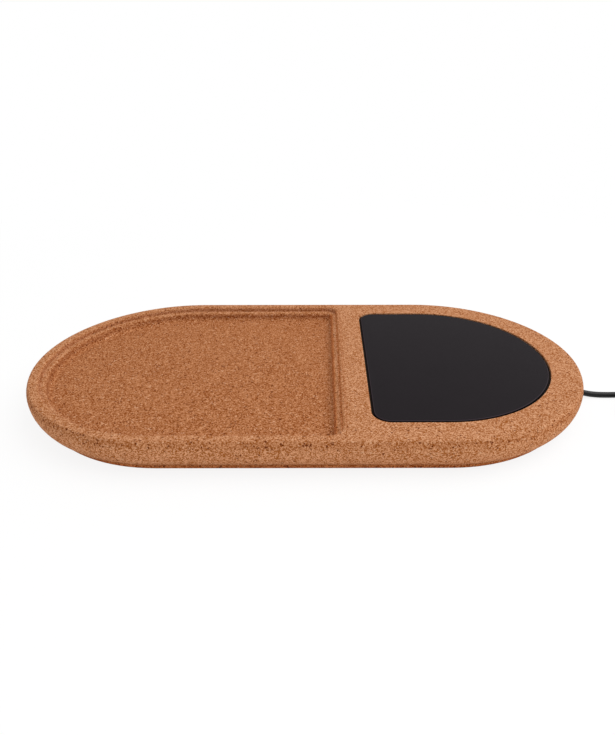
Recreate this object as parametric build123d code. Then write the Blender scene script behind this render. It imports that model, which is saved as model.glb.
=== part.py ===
from build123d import *

import os
from math import atan2, dist, pi, sqrt, tan

# A desk tray of pressed cork, with a storage pocket on the left and a wireless charging pad let into
# its deck on the right. The charger is a round puck glued into a bay that is cut from below and
# closed by a thin cork sheet. Its cable runs in a slot to the right end and lies on the desk.
#
# Millimetres. The origin is the middle of the underside, +X runs along the tray towards the charger
# and the cable, +Y to the back, +Z up.

os.makedirs("parts", exist_ok=True)

# The tray as a whole. Its height follows from what it holds, further down
tray_length = 274.0
tray_width = 148.0

# The moulded edge: widest a little under the deck, drawn in towards the foot
top_inset = 1.4
top_drop = 4.4
top_round = 1.3
foot_inset = 6.5
foot_round = 0.8

# The sheet under the tray and its film of glue
base_thick = 1.8
base_setback = 0.3
base_round = 0.4
base_glue_thick = 0.2
base_glue_setback = 1.5

# The storage pocket, with a step below the deck
rim_margin = 6.1
divider_width = 12.8
pocket_depth = 7.0
pocket_corner = 6.2
ledge_drop = 2.5
ledge_width = 3.1
deck_round = 1.2
lip_round = 2.0
floor_round = 2.4

# The charging pad: a soft skin glued into a shallow recess
pad_length = 92.1
pad_margin = 15.2
pad_corner = 8.5
pad_gap = 1.0
pad_recess_round = 0.3
pad_web = 1.5
skin_thick = 1.0
skin_glue_thick = 0.2
skin_glue_gap = 0.1
skin_sink = 0.1
skin_round = 0.45

# The charger puck's case, under the pad's middle. Its height follows from what it holds
case_radius = 37.0
case_wall = 1.5
case_plate = 1.2
case_floor = 1.4
case_round = 1.4
case_fit = 0.1
bottom_half_height = 3.2
lip_height = 1.4
lip_wall = 1.0
bay_clearance = 1.0
tape_thick = 0.4
tape_width = 10.0
tape_setback = 3.0
foam_thick = 3.0
foam_side = 44.0
foam_corner = 5.0

# The three screws that close the case, and what they go into
screw_count = 3
screw_radius = 1.0
screw_length = 6.0
screw_head_radius = 1.9
screw_head_height = 1.2
screw_slot_width = 0.5
screw_slot_depth = 0.5
screw_clearance = 0.1
screw_first_angle = 90.0
boss_radius = 2.4
boss_gap = 0.6

# The transmitting coil: one flat winding of flat stranded wire
wind_inner_radius = 10.3
wind_half_turns = 21
wind_pitch = 1.1
wind_width = 0.68
wind_thick = 1.1
coil_lead_radius = 0.4
coil_lead_bend = 0.6
coil_ring_gap = 0.7
coil_ring_wall = 1.0
coil_ring_height = 0.9
coil_ring_notch = 5.0

# The ferrite, the shield and the spacer behind the winding
ferrite_thick = 0.8
ferrite_setback = 2.5
ferrite_slot = 1.6
shield_thick = 0.5
spacer_thick = 1.0
spacer_radius = 17.0

# The circuit board, its posts and its components
board_gap = 1.0
board_thick = 1.0
component_room = 2.8
post_radius = 2.0
post_setback = 2.0
post_first_angle = 30.0
pin_radius = 0.8
pin_rise = 0.4
pin_fit = 0.1
chip_side = 5.0
chip_height = 0.9
chip_leg_length = 0.5
chip_leg_width = 0.25
chip_leg_height = 0.2
chip_legs_per_side = 8
chip_leg_pitch = 0.5
transistor_side = 3.3
transistor_height = 1.0
transistor_tab = 0.4
transistor_pitch = 4.6
film_length = 5.7
film_width = 5.0
film_height = 2.0
film_pitch = 6.2
film_cap = 0.7
inductor_side = 7.0
inductor_height = 2.4
inductor_drum_radius = 2.9
inductor_flange = 0.6
inductor_corner = 1.0
crystal_length = 3.2
crystal_width = 2.5
crystal_height = 0.8
crystal_rim = 0.3
small_length = 1.6
small_width = 0.8
small_height = 0.8
small_cap = 0.3
small_pitch = 2.2
small_count = 6

# Places on the board from its centre, as seen from above, as shares of its radius
chip_shares = (-0.14, 0.07)
transistor_shares = (-0.59, -0.215)
film_shares = (-0.285, 0.62)
inductor_shares = (0.4, 0.36)
crystal_shares = (0.16, 0.09)
small_shares = (-0.14, -0.3)

# The cable, its bush in the case wall and the slot in the cork
cord_diameter = 3.0
cord_y = -8.2
slot_clearance = 0.2
bush_radius = 2.3
bush_flange_radius = 2.9
bush_flange_thick = 1.2
bush_fit = 0.05
bush_bay_width = 8.0
bush_bay_depth = 2.0
jacket_inside = 4.0
level_share = 0.18
wire_radius = 0.5
wire_spread = 1.5
wire_run = 3.5
wire_bend = 1.0

# The free cable's coil, put away beside the tray
coil_gap = 0.45
coil_inner_radius = 12.0
coil_in_half_turns = 8
coil_out_half_turns = 7
coil_end_straight = 3.0
tie_thick = 0.4
tie_width = 5.0
tie_gap = 0.1
tie_round = 1.6
tie_tail_length = 9.0

# The plug, a full-size flat one
grip_length = 22.0
grip_width = 15.6
grip_height = 8.0
grip_round = 1.8
grip_rib_count = 4
grip_rib_pitch = 2.4
grip_rib_width = 1.0
grip_rib_depth = 0.4
grip_rib_margin = 3.0
collar_length = 8.0
collar_end_radius = 2.0
collar_root_radius = 2.8
collar_grooves = 3
collar_groove_width = 0.7
collar_groove_depth = 0.4
shell_length = 12.0
shell_width = 12.0
shell_height = 4.5
shell_wall = 0.3
shell_round = 0.5
shell_window = 2.2
shell_window_y = 3.0
shell_window_from_tip = 5.2
tongue_height = 1.9
tongue_tip_gap = 0.8
tongue_side_fit = 0.2
contact_width = 1.0
contact_height = 0.2
contact_length = 7.4
contact_inner_y = 1.0
contact_outer_y = 3.5
contact_tip_gap = 1.0

# How far every cut runs past the face that it goes through
overrun = 2.0

# How much of a route's shorter run each bend takes, for the held cable and for the free one
held_bend_share = 0.9
free_bend_share = 0.45

# Heights and places that follow from the sizes above
end_radius = tray_width / 2
end_x = tray_length / 2 - end_radius
base_top = base_thick
body_bottom = base_top + base_glue_thick
coil_stack = case_plate + wind_thick + ferrite_thick + shield_thick + spacer_thick
case_height = coil_stack + board_thick + component_room + case_floor
recess_depth = skin_sink + skin_thick + skin_glue_thick
tray_height = body_bottom + foam_thick + case_height + tape_thick + pad_web + recess_depth
widest_z = tray_height - top_drop
pad_left_x = tray_length / 2 - pad_margin - pad_length
pocket_right_x = pad_left_x - divider_width
case_x = pad_left_x + pad_length / 2
recess_floor = tray_height - recess_depth
bay_ceiling = recess_floor - pad_web
case_top_z = bay_ceiling - tape_thick
case_bottom_z = case_top_z - case_height
parting_z = case_bottom_z + bottom_half_height
case_floor_z = case_bottom_z + case_floor
case_inner_radius = case_radius - case_wall
screw_circle = case_inner_radius - case_fit - lip_wall - boss_gap - boss_radius
board_radius = screw_circle - boss_radius - board_gap
post_circle = board_radius - post_setback - post_radius
ferrite_radius = board_radius - ferrite_setback
plate_under_z = case_top_z - case_plate
wind_under_z = plate_under_z - wind_thick
ferrite_under_z = wind_under_z - ferrite_thick
shield_under_z = ferrite_under_z - shield_thick
board_top_z = shield_under_z - spacer_thick
board_under_z = board_top_z - board_thick
screw_seat_z = case_bottom_z + screw_head_height + screw_clearance
boss_end_z = parting_z - lip_height / 2
wind_outer_radius = wind_inner_radius + wind_half_turns * wind_pitch / 2
cord_radius = cord_diameter / 2
cord_z = parting_z
exit_z = body_bottom + slot_clearance + cord_radius
case_centre = Pos(case_x, 0, 0)


def edge_arc_radius(inset, height):
    """Radius of the arc that leaves the widest line upright and moves in by inset over height."""
    return (inset ** 2 + height ** 2) / (2 * inset)


def edge_reach(z):
    """Distance from the tray's middle line to its outside, at a height below the widest line."""
    radius = edge_arc_radius(foot_inset, widest_z - body_bottom)
    return end_radius - radius + sqrt(radius ** 2 - (widest_z - z) ** 2)


exit_x = end_x + sqrt(edge_reach(exit_z) ** 2 - cord_y ** 2)


def slab(sketch, low, high):
    """A flat sketch made a solid between two heights."""
    return Pos(0, 0, low) * extrude(sketch, high - low)


def capsule(margin):
    """The tray's plan, this far inside its widest line."""
    return SlotOverall(tray_length - 2 * margin, tray_width - 2 * margin)


def cut_capsule(margin, low_x, high_x, corner):
    """The tray's plan inside a margin, cut off square at one side of the divider, corners rounded."""
    middle = (low_x + high_x) / 2
    plan = capsule(margin) & Pos(middle, 0) * Rectangle(high_x - low_x, tray_width)
    wall_x = high_x if abs(high_x) < abs(low_x) else low_x
    corners = [v for v in plan.vertices() if abs(v.X - wall_x) < corner / 100]
    return fillet(corners, corner)


def pocket_plan(extra):
    """The storage pocket's plan, this far inside its mouth."""
    return cut_capsule(rim_margin + extra, -tray_length / 2, pocket_right_x - extra, pocket_corner - extra)


def pad_plan(extra):
    """The charging pad's plan, this far inside its recess."""
    return cut_capsule(pad_margin + extra, pad_left_x + extra, tray_length / 2, pad_corner - extra)


def edge_margin(point):
    """How far a point lies inside the tray's widest line."""
    along = max(abs(point.X) - end_x, 0)
    return end_radius - sqrt(along ** 2 + point.Y ** 2)


def rounded_cylinder(radius, low, high, low_round=0, high_round=0):
    """An upright disc with its rims rounded."""
    solid = slab(Circle(radius), low, high)
    if high_round:
        solid = fillet(solid.edges().sort_by(Axis.Z)[-1], high_round)
    if low_round:
        solid = fillet(solid.edges().sort_by(Axis.Z)[0], low_round)
    return solid


def ring(outer, inner, low, high):
    """An upright ring between two heights."""
    return slab(Circle(outer) - Circle(inner), low, high)


def on_circle(radius, first, count):
    """Evenly spaced places on a circle about the case's axis."""
    return [Rot(0, 0, first + 360 * n / count) * Pos(radius, 0, 0) for n in range(count)]


def tube(edges, radius):
    """A round tube along a path, with its volume set against section times length."""
    path = Wire(edges)
    section = Plane(origin=path @ 0, z_dir=path % 0) * Circle(radius)
    solid = sweep(section, path=path)
    share = solid.volume / (pi * radius ** 2 * path.length)
    print(f"  tube of {path.length:.1f} mm, volume {share:.4f} of section times length")
    return solid


def corner_radii(points):
    """The arc at each corner of a route: as large as the shorter of its two runs allows."""
    radii = []
    for before, here, after in zip(points, points[1:], points[2:]):
        first = Vector(*here) - Vector(*before)
        second = Vector(*after) - Vector(*here)
        half_turn = first.get_angle(second) / 2 * pi / 180
        radii.append(free_bend_share * min(first.length, second.length) / tan(half_turn))
    return radii


def routed_tube(points, radius):
    """A tube along straight runs joined by tangent arcs, whose radii are printed."""
    radii = corner_radii(points)
    print("  radii", " ".join(f"{r:.1f}" for r in radii))
    return tube(FilletPolyline(*points, radius=radii).edges(), radius)


def save(node, shape):
    """Write one named piece."""
    export_step(shape, f"parts/{node}.step")
    print(node)


# The cork body: a long round-ended block with a bellied edge, the pocket and the pad's recess cut
# from above, and the charger's bay and the cable's slot cut from below

def body_block():
    widest = (end_radius, widest_z)
    foot = (end_radius - foot_inset, body_bottom)
    brow = (end_radius - top_inset, tray_height)
    outline = Curve() + [
        Line((0, body_bottom), foot),
        TangentArc(widest, foot, tangent=(0, -1)),
        TangentArc(widest, brow, tangent=(0, 1)),
        Line(brow, (0, tray_height)),
        Line((0, tray_height), (0, body_bottom)),
    ]
    half = make_face(outline)
    half = fillet(half.vertices().sort_by_distance(Vector(*foot))[0], foot_round)
    half = fillet(half.vertices().sort_by_distance(Vector(*brow))[0], top_round)
    end = revolve(Plane.XZ * half, Axis.Z)
    whole = Plane.YZ * (half + mirror(half, Plane.YZ))
    middle = Pos(-end_x, 0, 0) * extrude(whole, 2 * end_x)
    return middle + Pos(end_x, 0, 0) * end + Pos(-end_x, 0, 0) * end


def pocket_cut():
    mouth = slab(pocket_plan(0), tray_height - ledge_drop, tray_height + overrun)
    well = slab(pocket_plan(ledge_width), tray_height - pocket_depth, tray_height)
    well = fillet(well.edges().group_by(Axis.Z)[0], floor_round)
    return mouth + well


def level_edges(body, z, margin):
    """The edges that lie level at one height, at least this far inside the tray's widest line."""
    slack = ledge_width / 10
    edges = [e for e in body.edges() if abs(e.center().Z - z) < slack and abs((e @ 0).Z - z) < slack]
    return [e for e in edges if edge_margin(e @ 0.5) > margin - slack]


def pocket_edges(body, z, extra):
    """The edges round the pocket at one height, this far inside its mouth."""
    wall_x = pocket_right_x - extra + ledge_width / 10
    return [e for e in level_edges(body, z, rim_margin + extra) if (e @ 0.5).X < wall_x]


def recess_edges(body):
    """The edges round the pad's recess, at the deck."""
    middle_x = (pocket_right_x + pad_left_x) / 2
    return [e for e in level_edges(body, tray_height, pad_margin) if (e @ 0.5).X > middle_x]


def held_route():
    """The cable's middle line inside the tray: level through the case's wall, then down to its exit."""
    wall = case_x + sqrt(case_radius ** 2 - cord_y ** 2)
    bush_end = bush_span()[1]
    level_run = level_share * (exit_x - bush_end)
    return [
        (wall - case_wall - jacket_inside, cord_y, cord_z),
        (bush_end + level_run, cord_y, cord_z),
        (exit_x - level_run, cord_y, exit_z),
        (exit_x, cord_y, exit_z),
    ]


def held_bend():
    """The held cable's bend radius, as large as the level run at its exit allows."""
    _, high, low, end = held_route()
    half_turn = atan2(high[2] - low[2], low[0] - high[0]) / 2
    return held_bend_share * (end[0] - low[0]) / tan(half_turn)


def slot_cut():
    """The cable's slot: round above the cable, and open below it down to the foot."""
    half_width = cord_radius + slot_clearance
    start, level_end, low_start, end = held_route()
    end = (end[0] + overrun, end[1], end[2])
    start = (case_x + case_inner_radius, start[1], start[2])
    corners = [start, level_end, low_start, end]
    bore = FilletPolyline(*corners, radius=held_bend())
    section = Plane(origin=bore @ 0, z_dir=bore % 0) * Circle(half_width)
    tunnel = sweep(section, path=Wire(bore.edges()))
    below = [(x, z) for x, y, z in corners]
    low = body_bottom - overrun
    below += [(end[0], low), (start[0], low)]
    trench = Plane.XZ * make_face(Polyline(*below, close=True))
    return tunnel + Pos(0, cord_y + half_width, 0) * extrude(trench, 2 * half_width)


def bay_cut():
    radius = case_radius + bay_clearance
    bay = case_centre * slab(Circle(radius), body_bottom - overrun, bay_ceiling)
    reach = sqrt(radius ** 2 - cord_y ** 2) + bush_bay_depth
    roof = cord_z + bush_flange_radius + bay_clearance
    notch = Pos(case_x + reach / 2, cord_y) * Rectangle(reach, bush_bay_width)
    return bay + slab(notch, body_bottom - overrun, roof)


def tray_body():
    body = body_block() - pocket_cut()
    body = fillet(pocket_edges(body, tray_height - ledge_drop, ledge_width), lip_round)
    body = fillet(pocket_edges(body, tray_height, 0), deck_round)
    body -= slab(pad_plan(0), recess_floor, tray_height + overrun)
    body = fillet(recess_edges(body), pad_recess_round)
    return body - bay_cut() - slot_cut()


def base_sheet():
    sheet = slab(capsule(foot_inset + base_setback), 0, base_top)
    return fillet(sheet.edges().group_by(Axis.Z)[0], base_round)


def base_glue():
    return slab(capsule(foot_inset + base_glue_setback), base_top, body_bottom)


# The pad's skin, and the film that holds it

def pad_skin():
    top = recess_floor + skin_glue_thick + skin_thick
    skin = slab(pad_plan(pad_gap), top - skin_thick, top)
    return fillet(skin.edges().group_by(Axis.Z)[-1], skin_round)


def pad_glue():
    return slab(pad_plan(skin_glue_gap), recess_floor, recess_floor + skin_glue_thick)


# The puck's case: a top shell with the coil's ring and the screw bosses, and a bottom shell with
# the board's posts and the screws' seats

def bush_hole():
    """The round hole in the case wall for the bush, half in each shell."""
    hole = Plane(origin=(case_x, cord_y, cord_z), z_dir=(1, 0, 0)) * Circle(bush_radius + bush_fit)
    return extrude(hole, case_radius + overrun)


def case_top():
    shell = rounded_cylinder(case_radius, parting_z, case_top_z, high_round=case_round)
    shell -= slab(Circle(case_inner_radius), parting_z - overrun, plate_under_z)
    inner = wind_outer_radius + coil_ring_gap
    nest = ring(inner + coil_ring_wall, inner, plate_under_z - coil_ring_height, plate_under_z)
    notch = Pos(-inner, 0) * Rectangle(coil_ring_notch, coil_ring_notch)
    shell += nest - slab(notch, board_top_z, plate_under_z)
    for place in on_circle(screw_circle, screw_first_angle, screw_count):
        shell += place * slab(Circle(boss_radius), boss_end_z, plate_under_z)
        depth = screw_seat_z + screw_length + screw_clearance
        shell -= place * slab(Circle(screw_radius + screw_clearance / 2), boss_end_z - overrun, depth)
    return case_centre * shell - bush_hole()


def case_bottom():
    shell = rounded_cylinder(case_radius, case_bottom_z, parting_z, low_round=case_round)
    shell -= slab(Circle(case_inner_radius), case_floor_z, parting_z + overrun)
    lip_radius = case_inner_radius - case_fit
    shell += ring(lip_radius, lip_radius - lip_wall, case_floor_z, parting_z + lip_height)
    shell += ring(case_inner_radius, lip_radius - lip_wall, case_floor_z, parting_z)
    for place in on_circle(screw_circle, screw_first_angle, screw_count):
        shell += place * slab(Circle(boss_radius), case_floor_z, boss_end_z - case_fit)
        shell -= place * slab(Circle(screw_head_radius + screw_clearance), case_bottom_z - overrun, screw_seat_z)
        shell -= place * slab(Circle(screw_radius + screw_clearance), case_bottom_z, parting_z + lip_height)
        bite = place * slab(Circle(boss_radius + case_fit), boss_end_z - case_fit, parting_z + lip_height + overrun)
        shell -= bite
    for place in on_circle(post_circle, post_first_angle, screw_count):
        shell += place * slab(Circle(post_radius), case_floor_z, board_under_z)
        shell += place * slab(Circle(pin_radius), board_under_z, board_top_z + pin_rise)
    return case_centre * shell - bush_hole()


def case_screws():
    screws = []
    head = rounded_cylinder(screw_head_radius, screw_seat_z - screw_head_height, screw_seat_z)
    slot_top = screw_seat_z - screw_head_height + screw_slot_depth
    for angle in (0, 90):
        cross = Rot(0, 0, angle) * Rectangle(screw_head_radius, screw_slot_width)
        head -= slab(cross, screw_seat_z - screw_head_height - overrun, slot_top)
    shank_end = screw_seat_z + screw_length
    shank = slab(Circle(screw_radius), screw_seat_z, shank_end)
    shank = chamfer(shank.edges().sort_by(Axis.Z)[-1], screw_radius / 2)
    for place in on_circle(screw_circle, screw_first_angle, screw_count):
        screws.append(case_centre * place * (head + shank))
    return Compound(children=screws)


def module_tape():
    outer = case_radius - tape_setback
    return case_centre * ring(outer, outer - tape_width, case_top_z, bay_ceiling)


def module_foam():
    block = RectangleRounded(foam_side, foam_side, foam_corner)
    return case_centre * slab(block, body_bottom, case_bottom_z)


# The winding: half turns of growing radius, swept as one flat wire, and its two leads, which pass
# the ferrite in slots and reach the board

def winding_path():
    start = Vector(wind_inner_radius, 0, 0)
    heading = Vector(0, 1, 0)
    edges = []
    for n in range(wind_half_turns):
        radius = wind_inner_radius + n * wind_pitch / 2
        side = Vector(-heading.Y, heading.X, 0)
        end = start + side * (2 * radius)
        edges.append(TangentArc(start, end, tangent=heading))
        start = end
        heading = heading * -1
    return edges, start


def transmit_coil():
    edges, _ = winding_path()
    height = wind_under_z + wind_thick / 2
    print(f"  least gap of the winding to itself {least_gap(edges, wind_width):.2f} mm")
    start = Plane(origin=(wind_inner_radius, 0, 0), x_dir=(1, 0, 0), z_dir=(0, 1, 0))
    wire = sweep(start * Rectangle(wind_width, wind_thick), path=Wire(edges))
    return case_centre * Pos(0, 0, height) * wire


def coil_leads():
    _, outer_end = winding_path()
    run_z = (wind_under_z + shield_under_z) / 2
    ends = [(wind_inner_radius, 1), (abs(outer_end.X), -1)]
    reach = ferrite_radius + coil_lead_radius + coil_lead_bend
    leads = []
    for radius, side in ends:
        points = [
            (side * radius, 0, wind_under_z),
            (side * radius, 0, run_z),
            (side * reach, 0, run_z),
            (side * reach, 0, board_top_z),
        ]
        path = FilletPolyline(*points, radius=coil_lead_bend)
        leads.append(case_centre * tube(path.edges(), coil_lead_radius))
    return Compound(children=leads)


def lead_slots():
    """Slots from each end of the winding out past the ferrite's rim."""
    _, outer_end = winding_path()
    slots = Sketch()
    for radius, side in [(wind_inner_radius, 1), (abs(outer_end.X), -1)]:
        inner = radius - ferrite_slot / 2
        length = ferrite_radius + overrun - inner
        slots += Pos(side * (inner + length / 2), 0) * Rectangle(length, ferrite_slot)
    return slots


def ferrite_sheet():
    return case_centre * slab(Circle(ferrite_radius) - lead_slots(), ferrite_under_z, wind_under_z)


def shield_plate():
    return case_centre * slab(Circle(ferrite_radius) - lead_slots(), shield_under_z, ferrite_under_z)


def board_spacer():
    return case_centre * slab(Circle(spacer_radius), board_top_z, shield_under_z)


# The board hangs its components from its underside

def board_place(shares):
    """A place on the board, from shares of its radius."""
    return shares[0] * board_radius, shares[1] * board_radius


chip_place = board_place(chip_shares)
transistor_place = board_place(transistor_shares)
film_place = board_place(film_shares)
inductor_place = board_place(inductor_shares)
crystal_place = board_place(crystal_shares)
small_place = board_place(small_shares)


def circuit_board():
    board = Circle(board_radius)
    for place in on_circle(post_circle, post_first_angle, screw_count):
        board -= place * Circle(pin_radius + pin_fit)
    return case_centre * slab(board, board_under_z, board_top_z)


def hung(place, sketch, height):
    """A component's block, hung from the underside of the board at a place on it."""
    return case_centre * Pos(*place, 0) * slab(sketch, board_under_z - height, board_under_z)


def control_chip():
    chip = hung(chip_place, Rectangle(chip_side, chip_side), chip_height)
    reach = chip_side / 2 + chip_leg_length / 2
    first = -(chip_legs_per_side - 1) / 2 * chip_leg_pitch
    legs = Sketch()
    for side in range(4):
        for n in range(chip_legs_per_side):
            leg = Pos(reach, first + n * chip_leg_pitch) * Rectangle(chip_leg_length, chip_leg_width)
            legs += Rot(0, 0, 90 * side) * leg
    return chip + hung(chip_place, legs, chip_leg_height)


def bridge_transistors():
    blocks = []
    for column in range(2):
        for row in range(2):
            x = transistor_place[0] + column * transistor_pitch
            y = transistor_place[1] - row * transistor_pitch
            block = hung((x, y), Rectangle(transistor_side, transistor_side), transistor_height)
            tab_x = x - transistor_side / 2 - transistor_tab / 2
            tab = hung((tab_x, y), Rectangle(transistor_tab, transistor_side - transistor_tab), transistor_tab)
            blocks.append(block + tab)
    return Compound(children=blocks)


def capped_block(place, length, width, height, cap, waist):
    """A chip capacitor: two metal ends a little larger than the block between them."""
    block = hung(place, Rectangle(length, width - 2 * waist), height - waist)
    for side in (-1, 1):
        end_x = place[0] + side * (length - cap) / 2
        block += hung((end_x, place[1]), Rectangle(cap, width), height)
    return block


def resonant_capacitors():
    blocks = []
    for column in range(2):
        for row in range(2):
            place = (film_place[0] + column * film_pitch, film_place[1] - row * film_pitch)
            waist = film_cap / 5
            blocks.append(capped_block(place, film_length, film_width, film_height, film_cap, waist))
    return Compound(children=blocks)


def input_inductor():
    flange = RectangleRounded(inductor_side, inductor_side, inductor_corner)
    low = board_under_z - inductor_height
    core = slab(flange, low, low + inductor_flange)
    core += slab(flange, board_under_z - inductor_flange, board_under_z)
    core += slab(Circle(inductor_drum_radius), low, board_under_z)
    return case_centre * Pos(*inductor_place, 0) * core


def clock_crystal():
    can = hung(crystal_place, Rectangle(crystal_length, crystal_width), crystal_height / 2)
    lid = Rectangle(crystal_length - 2 * crystal_rim, crystal_width - 2 * crystal_rim)
    return can + hung(crystal_place, lid, crystal_height)


def chip_capacitors():
    blocks = []
    for n in range(small_count):
        place = (small_place[0] + n * small_pitch, small_place[1])
        turned = capped_block(place, small_length, small_width, small_height, small_cap, small_cap / 10)
        blocks.append(turned)
    return Compound(children=blocks)


# The bush is moulded on the cable and sits in the case wall between two flanges, the inner one cut
# flat on the case floor. Inside, two wires leave the jacket for the board

def bush_span():
    """Where the bush starts and ends: each flange stands just clear of the curved wall."""
    lip_inner = case_inner_radius - case_fit - lip_wall
    inner = case_x + sqrt(lip_inner ** 2 - (abs(cord_y) + bush_flange_radius) ** 2) - case_fit
    outer = case_x + sqrt(case_radius ** 2 - (abs(cord_y) - bush_flange_radius) ** 2) + case_fit
    return inner - bush_flange_thick, outer + bush_flange_thick


def along_x(radius, low_x, high_x):
    """A round bar on the cable's middle line in the case."""
    face = Plane(origin=(low_x, cord_y, cord_z), z_dir=(1, 0, 0)) * Circle(radius)
    return extrude(face, high_x - low_x)


def cable_bush():
    low_x, high_x = bush_span()
    bush = along_x(bush_radius, low_x, high_x)
    bush += along_x(bush_flange_radius, low_x, low_x + bush_flange_thick)
    bush += along_x(bush_flange_radius, high_x - bush_flange_thick, high_x)
    bush -= along_x(cord_radius, low_x - overrun, high_x + overrun)
    heel = Pos(low_x, cord_y) * Rectangle(2 * bush_flange_thick, bush_bay_width)
    return bush - slab(heel, case_bottom_z, case_floor_z)


def held_cable():
    print(f"  radius {held_bend():.1f}")
    return tube(FilletPolyline(*held_route(), radius=held_bend()).edges(), cord_radius)


def power_leads():
    start_x = held_route()[0][0]
    soldered_z = board_under_z - wire_radius
    leads = []
    for side in (-1, 1):
        near = cord_y + side * (cord_radius - wire_radius)
        far = cord_y + side * wire_spread
        points = [
            (start_x, near, cord_z),
            (start_x - wire_run / 2, near, cord_z),
            (start_x - 2 * wire_run, far, soldered_z),
            (start_x - 3 * wire_run, far, soldered_z),
        ]
        leads.append(tube(FilletPolyline(*points, radius=wire_bend).edges(), wire_radius))
    return Compound(children=leads)


# The free cable. The route is chosen by hand: x and y from the exit, z above the desk. It leaves the
# slot level, comes down to the desk and runs straight on, as the photograph shows it

desk_z = cord_radius
coil_pitch = cord_diameter + coil_gap
coil_low_z = tie_thick + tie_gap + cord_radius
coil_high_z = coil_low_z + coil_pitch
coil_outer_radius = coil_inner_radius + (coil_in_half_turns - 1) * coil_pitch / 2
plug_z = grip_height / 2

run_offsets = [
    (0.0, 0.0, exit_z),
    (5.0, 0.0, exit_z),
    (13.0, -0.1, desk_z),
    (24.5, -0.55, desk_z),
    (36.0, 0.0, coil_low_z),
    (44.0, 0.0, coil_low_z),
]
tail_offsets = [
    (0.0, 0.0, coil_high_z),
    (0.0, -4.0, coil_high_z),
    (0.0, -11.0, plug_z),
    (0.0, -15.0, plug_z),
]


def from_place(place, offsets):
    """Route points from a place on the desk."""
    return [(place[0] + x, place[1] + y, z) for x, y, z in offsets]


cord_route = from_place((exit_x, cord_y), run_offsets)
coil_start = Vector(*cord_route[-1])


def biarc_half_turn(start, heading, side, radius, rise):
    """A half turn that also climbs: two tangent arcs of a quarter turn each."""
    end = start + side * (2 * radius) + Vector(0, 0, rise)
    span = end - start
    joint = (start + end) * 0.5 + heading * (span.length / 2)
    return [TangentArc(start, joint, tangent=heading), TangentArc(joint, end, tangent=span)], end


def coil_path():
    """Half turns that wind in on the desk, climb a layer and wind out again on top."""
    heading = Vector(1, 0, 0)
    here = coil_start + heading * coil_end_straight
    edges = [Line(coil_start, here)]
    step = coil_pitch / 2
    radii = [coil_outer_radius - n * step for n in range(coil_in_half_turns)]
    for radius in radii:
        side = Vector(heading.Y, -heading.X, 0)
        end = here + side * (2 * radius)
        edges.append(TangentArc(here, end, tangent=heading))
        here, heading = end, heading * -1
    side = Vector(heading.Y, -heading.X, 0)
    climb, here = biarc_half_turn(here, heading, side, coil_inner_radius - step, coil_pitch)
    edges += climb
    heading = heading * -1
    for n in range(coil_out_half_turns):
        radius = coil_inner_radius + n * step
        side = Vector(heading.Y, -heading.X, 0)
        end = here + side * (2 * radius)
        edges.append(TangentArc(here, end, tangent=heading))
        here, heading = end, heading * -1
    side = Vector(heading.Y, -heading.X, 0)
    end = here + (heading + side) * (coil_inner_radius + coil_out_half_turns * step)
    edges.append(TangentArc(here, end, tangent=heading))
    tail_start = end + side * coil_end_straight
    edges.append(Line(end, tail_start))
    return edges, tail_start


def least_gap(edges, diameter):
    """The smallest gap between stretches of one tube that lie over two diameters apart along it."""
    path = Wire(edges)
    step = diameter / 2
    count = int(path.length / step)
    points = [tuple(path @ (n / count)) for n in range(count + 1)]
    apart = 5
    pairs = ((points[i], points[j]) for i in range(count) for j in range(i + apart, count + 1))
    return min(dist(first, second) for first, second in pairs) - diameter


coil_edges, tail_start = coil_path()
tail_route = from_place((tail_start.X, tail_start.Y), tail_offsets)
coil_centre = Vector(cord_route[-1][0] + coil_end_straight, cord_y - coil_outer_radius)


def cord_run():
    return routed_tube(cord_route, cord_radius)


def cord_coil():
    print(f"  least gap of the coil to itself {least_gap(coil_edges, cord_diameter):.2f} mm")
    return tube(coil_edges, cord_radius)


def cord_tail():
    return routed_tube(tail_route, cord_radius)


def cord_tie():
    """A flat band round the coil's turns on its far side, its two ends pressed together."""
    inner = coil_inner_radius - coil_pitch - cord_radius - tie_gap
    outer = coil_outer_radius + cord_radius + coil_pitch / 2 + tie_gap
    height = coil_high_z + cord_radius + tie_gap + tie_thick
    width = outer - inner + 2 * tie_thick
    middle = (outer + inner) / 2
    band = Pos(0, height / 2) * (
        RectangleRounded(width, height, tie_round)
        - RectangleRounded(width - 2 * tie_thick, height - 2 * tie_thick, tie_round - tie_thick))
    tail_x = (width + tie_tail_length - tie_thick) / 2
    tail = Pos(tail_x, height / 2) * Rectangle(tie_tail_length, 2 * tie_thick)
    loop = Plane.XZ * (Pos(middle, 0) * (band + tail))
    return Pos(coil_centre.X, coil_centre.Y + tie_width / 2, 0) * extrude(loop, tie_width)


# The plug is built along +X from the cable's end and turned to the tail's direction

def plug_place():
    end = tail_route[-1]
    return Pos(*end) * Rot(0, 0, -90)


def bar_x(width, height, low_x, high_x, rounding=0):
    """A bar along X about the plug's middle line, its long edges rounded."""
    shape = RectangleRounded(width, height, rounding) if rounding else Rectangle(width, height)
    face = Plane(origin=(low_x, 0, 0), x_dir=(0, 1, 0), z_dir=(1, 0, 0)) * shape
    return extrude(face, high_x - low_x)


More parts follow.
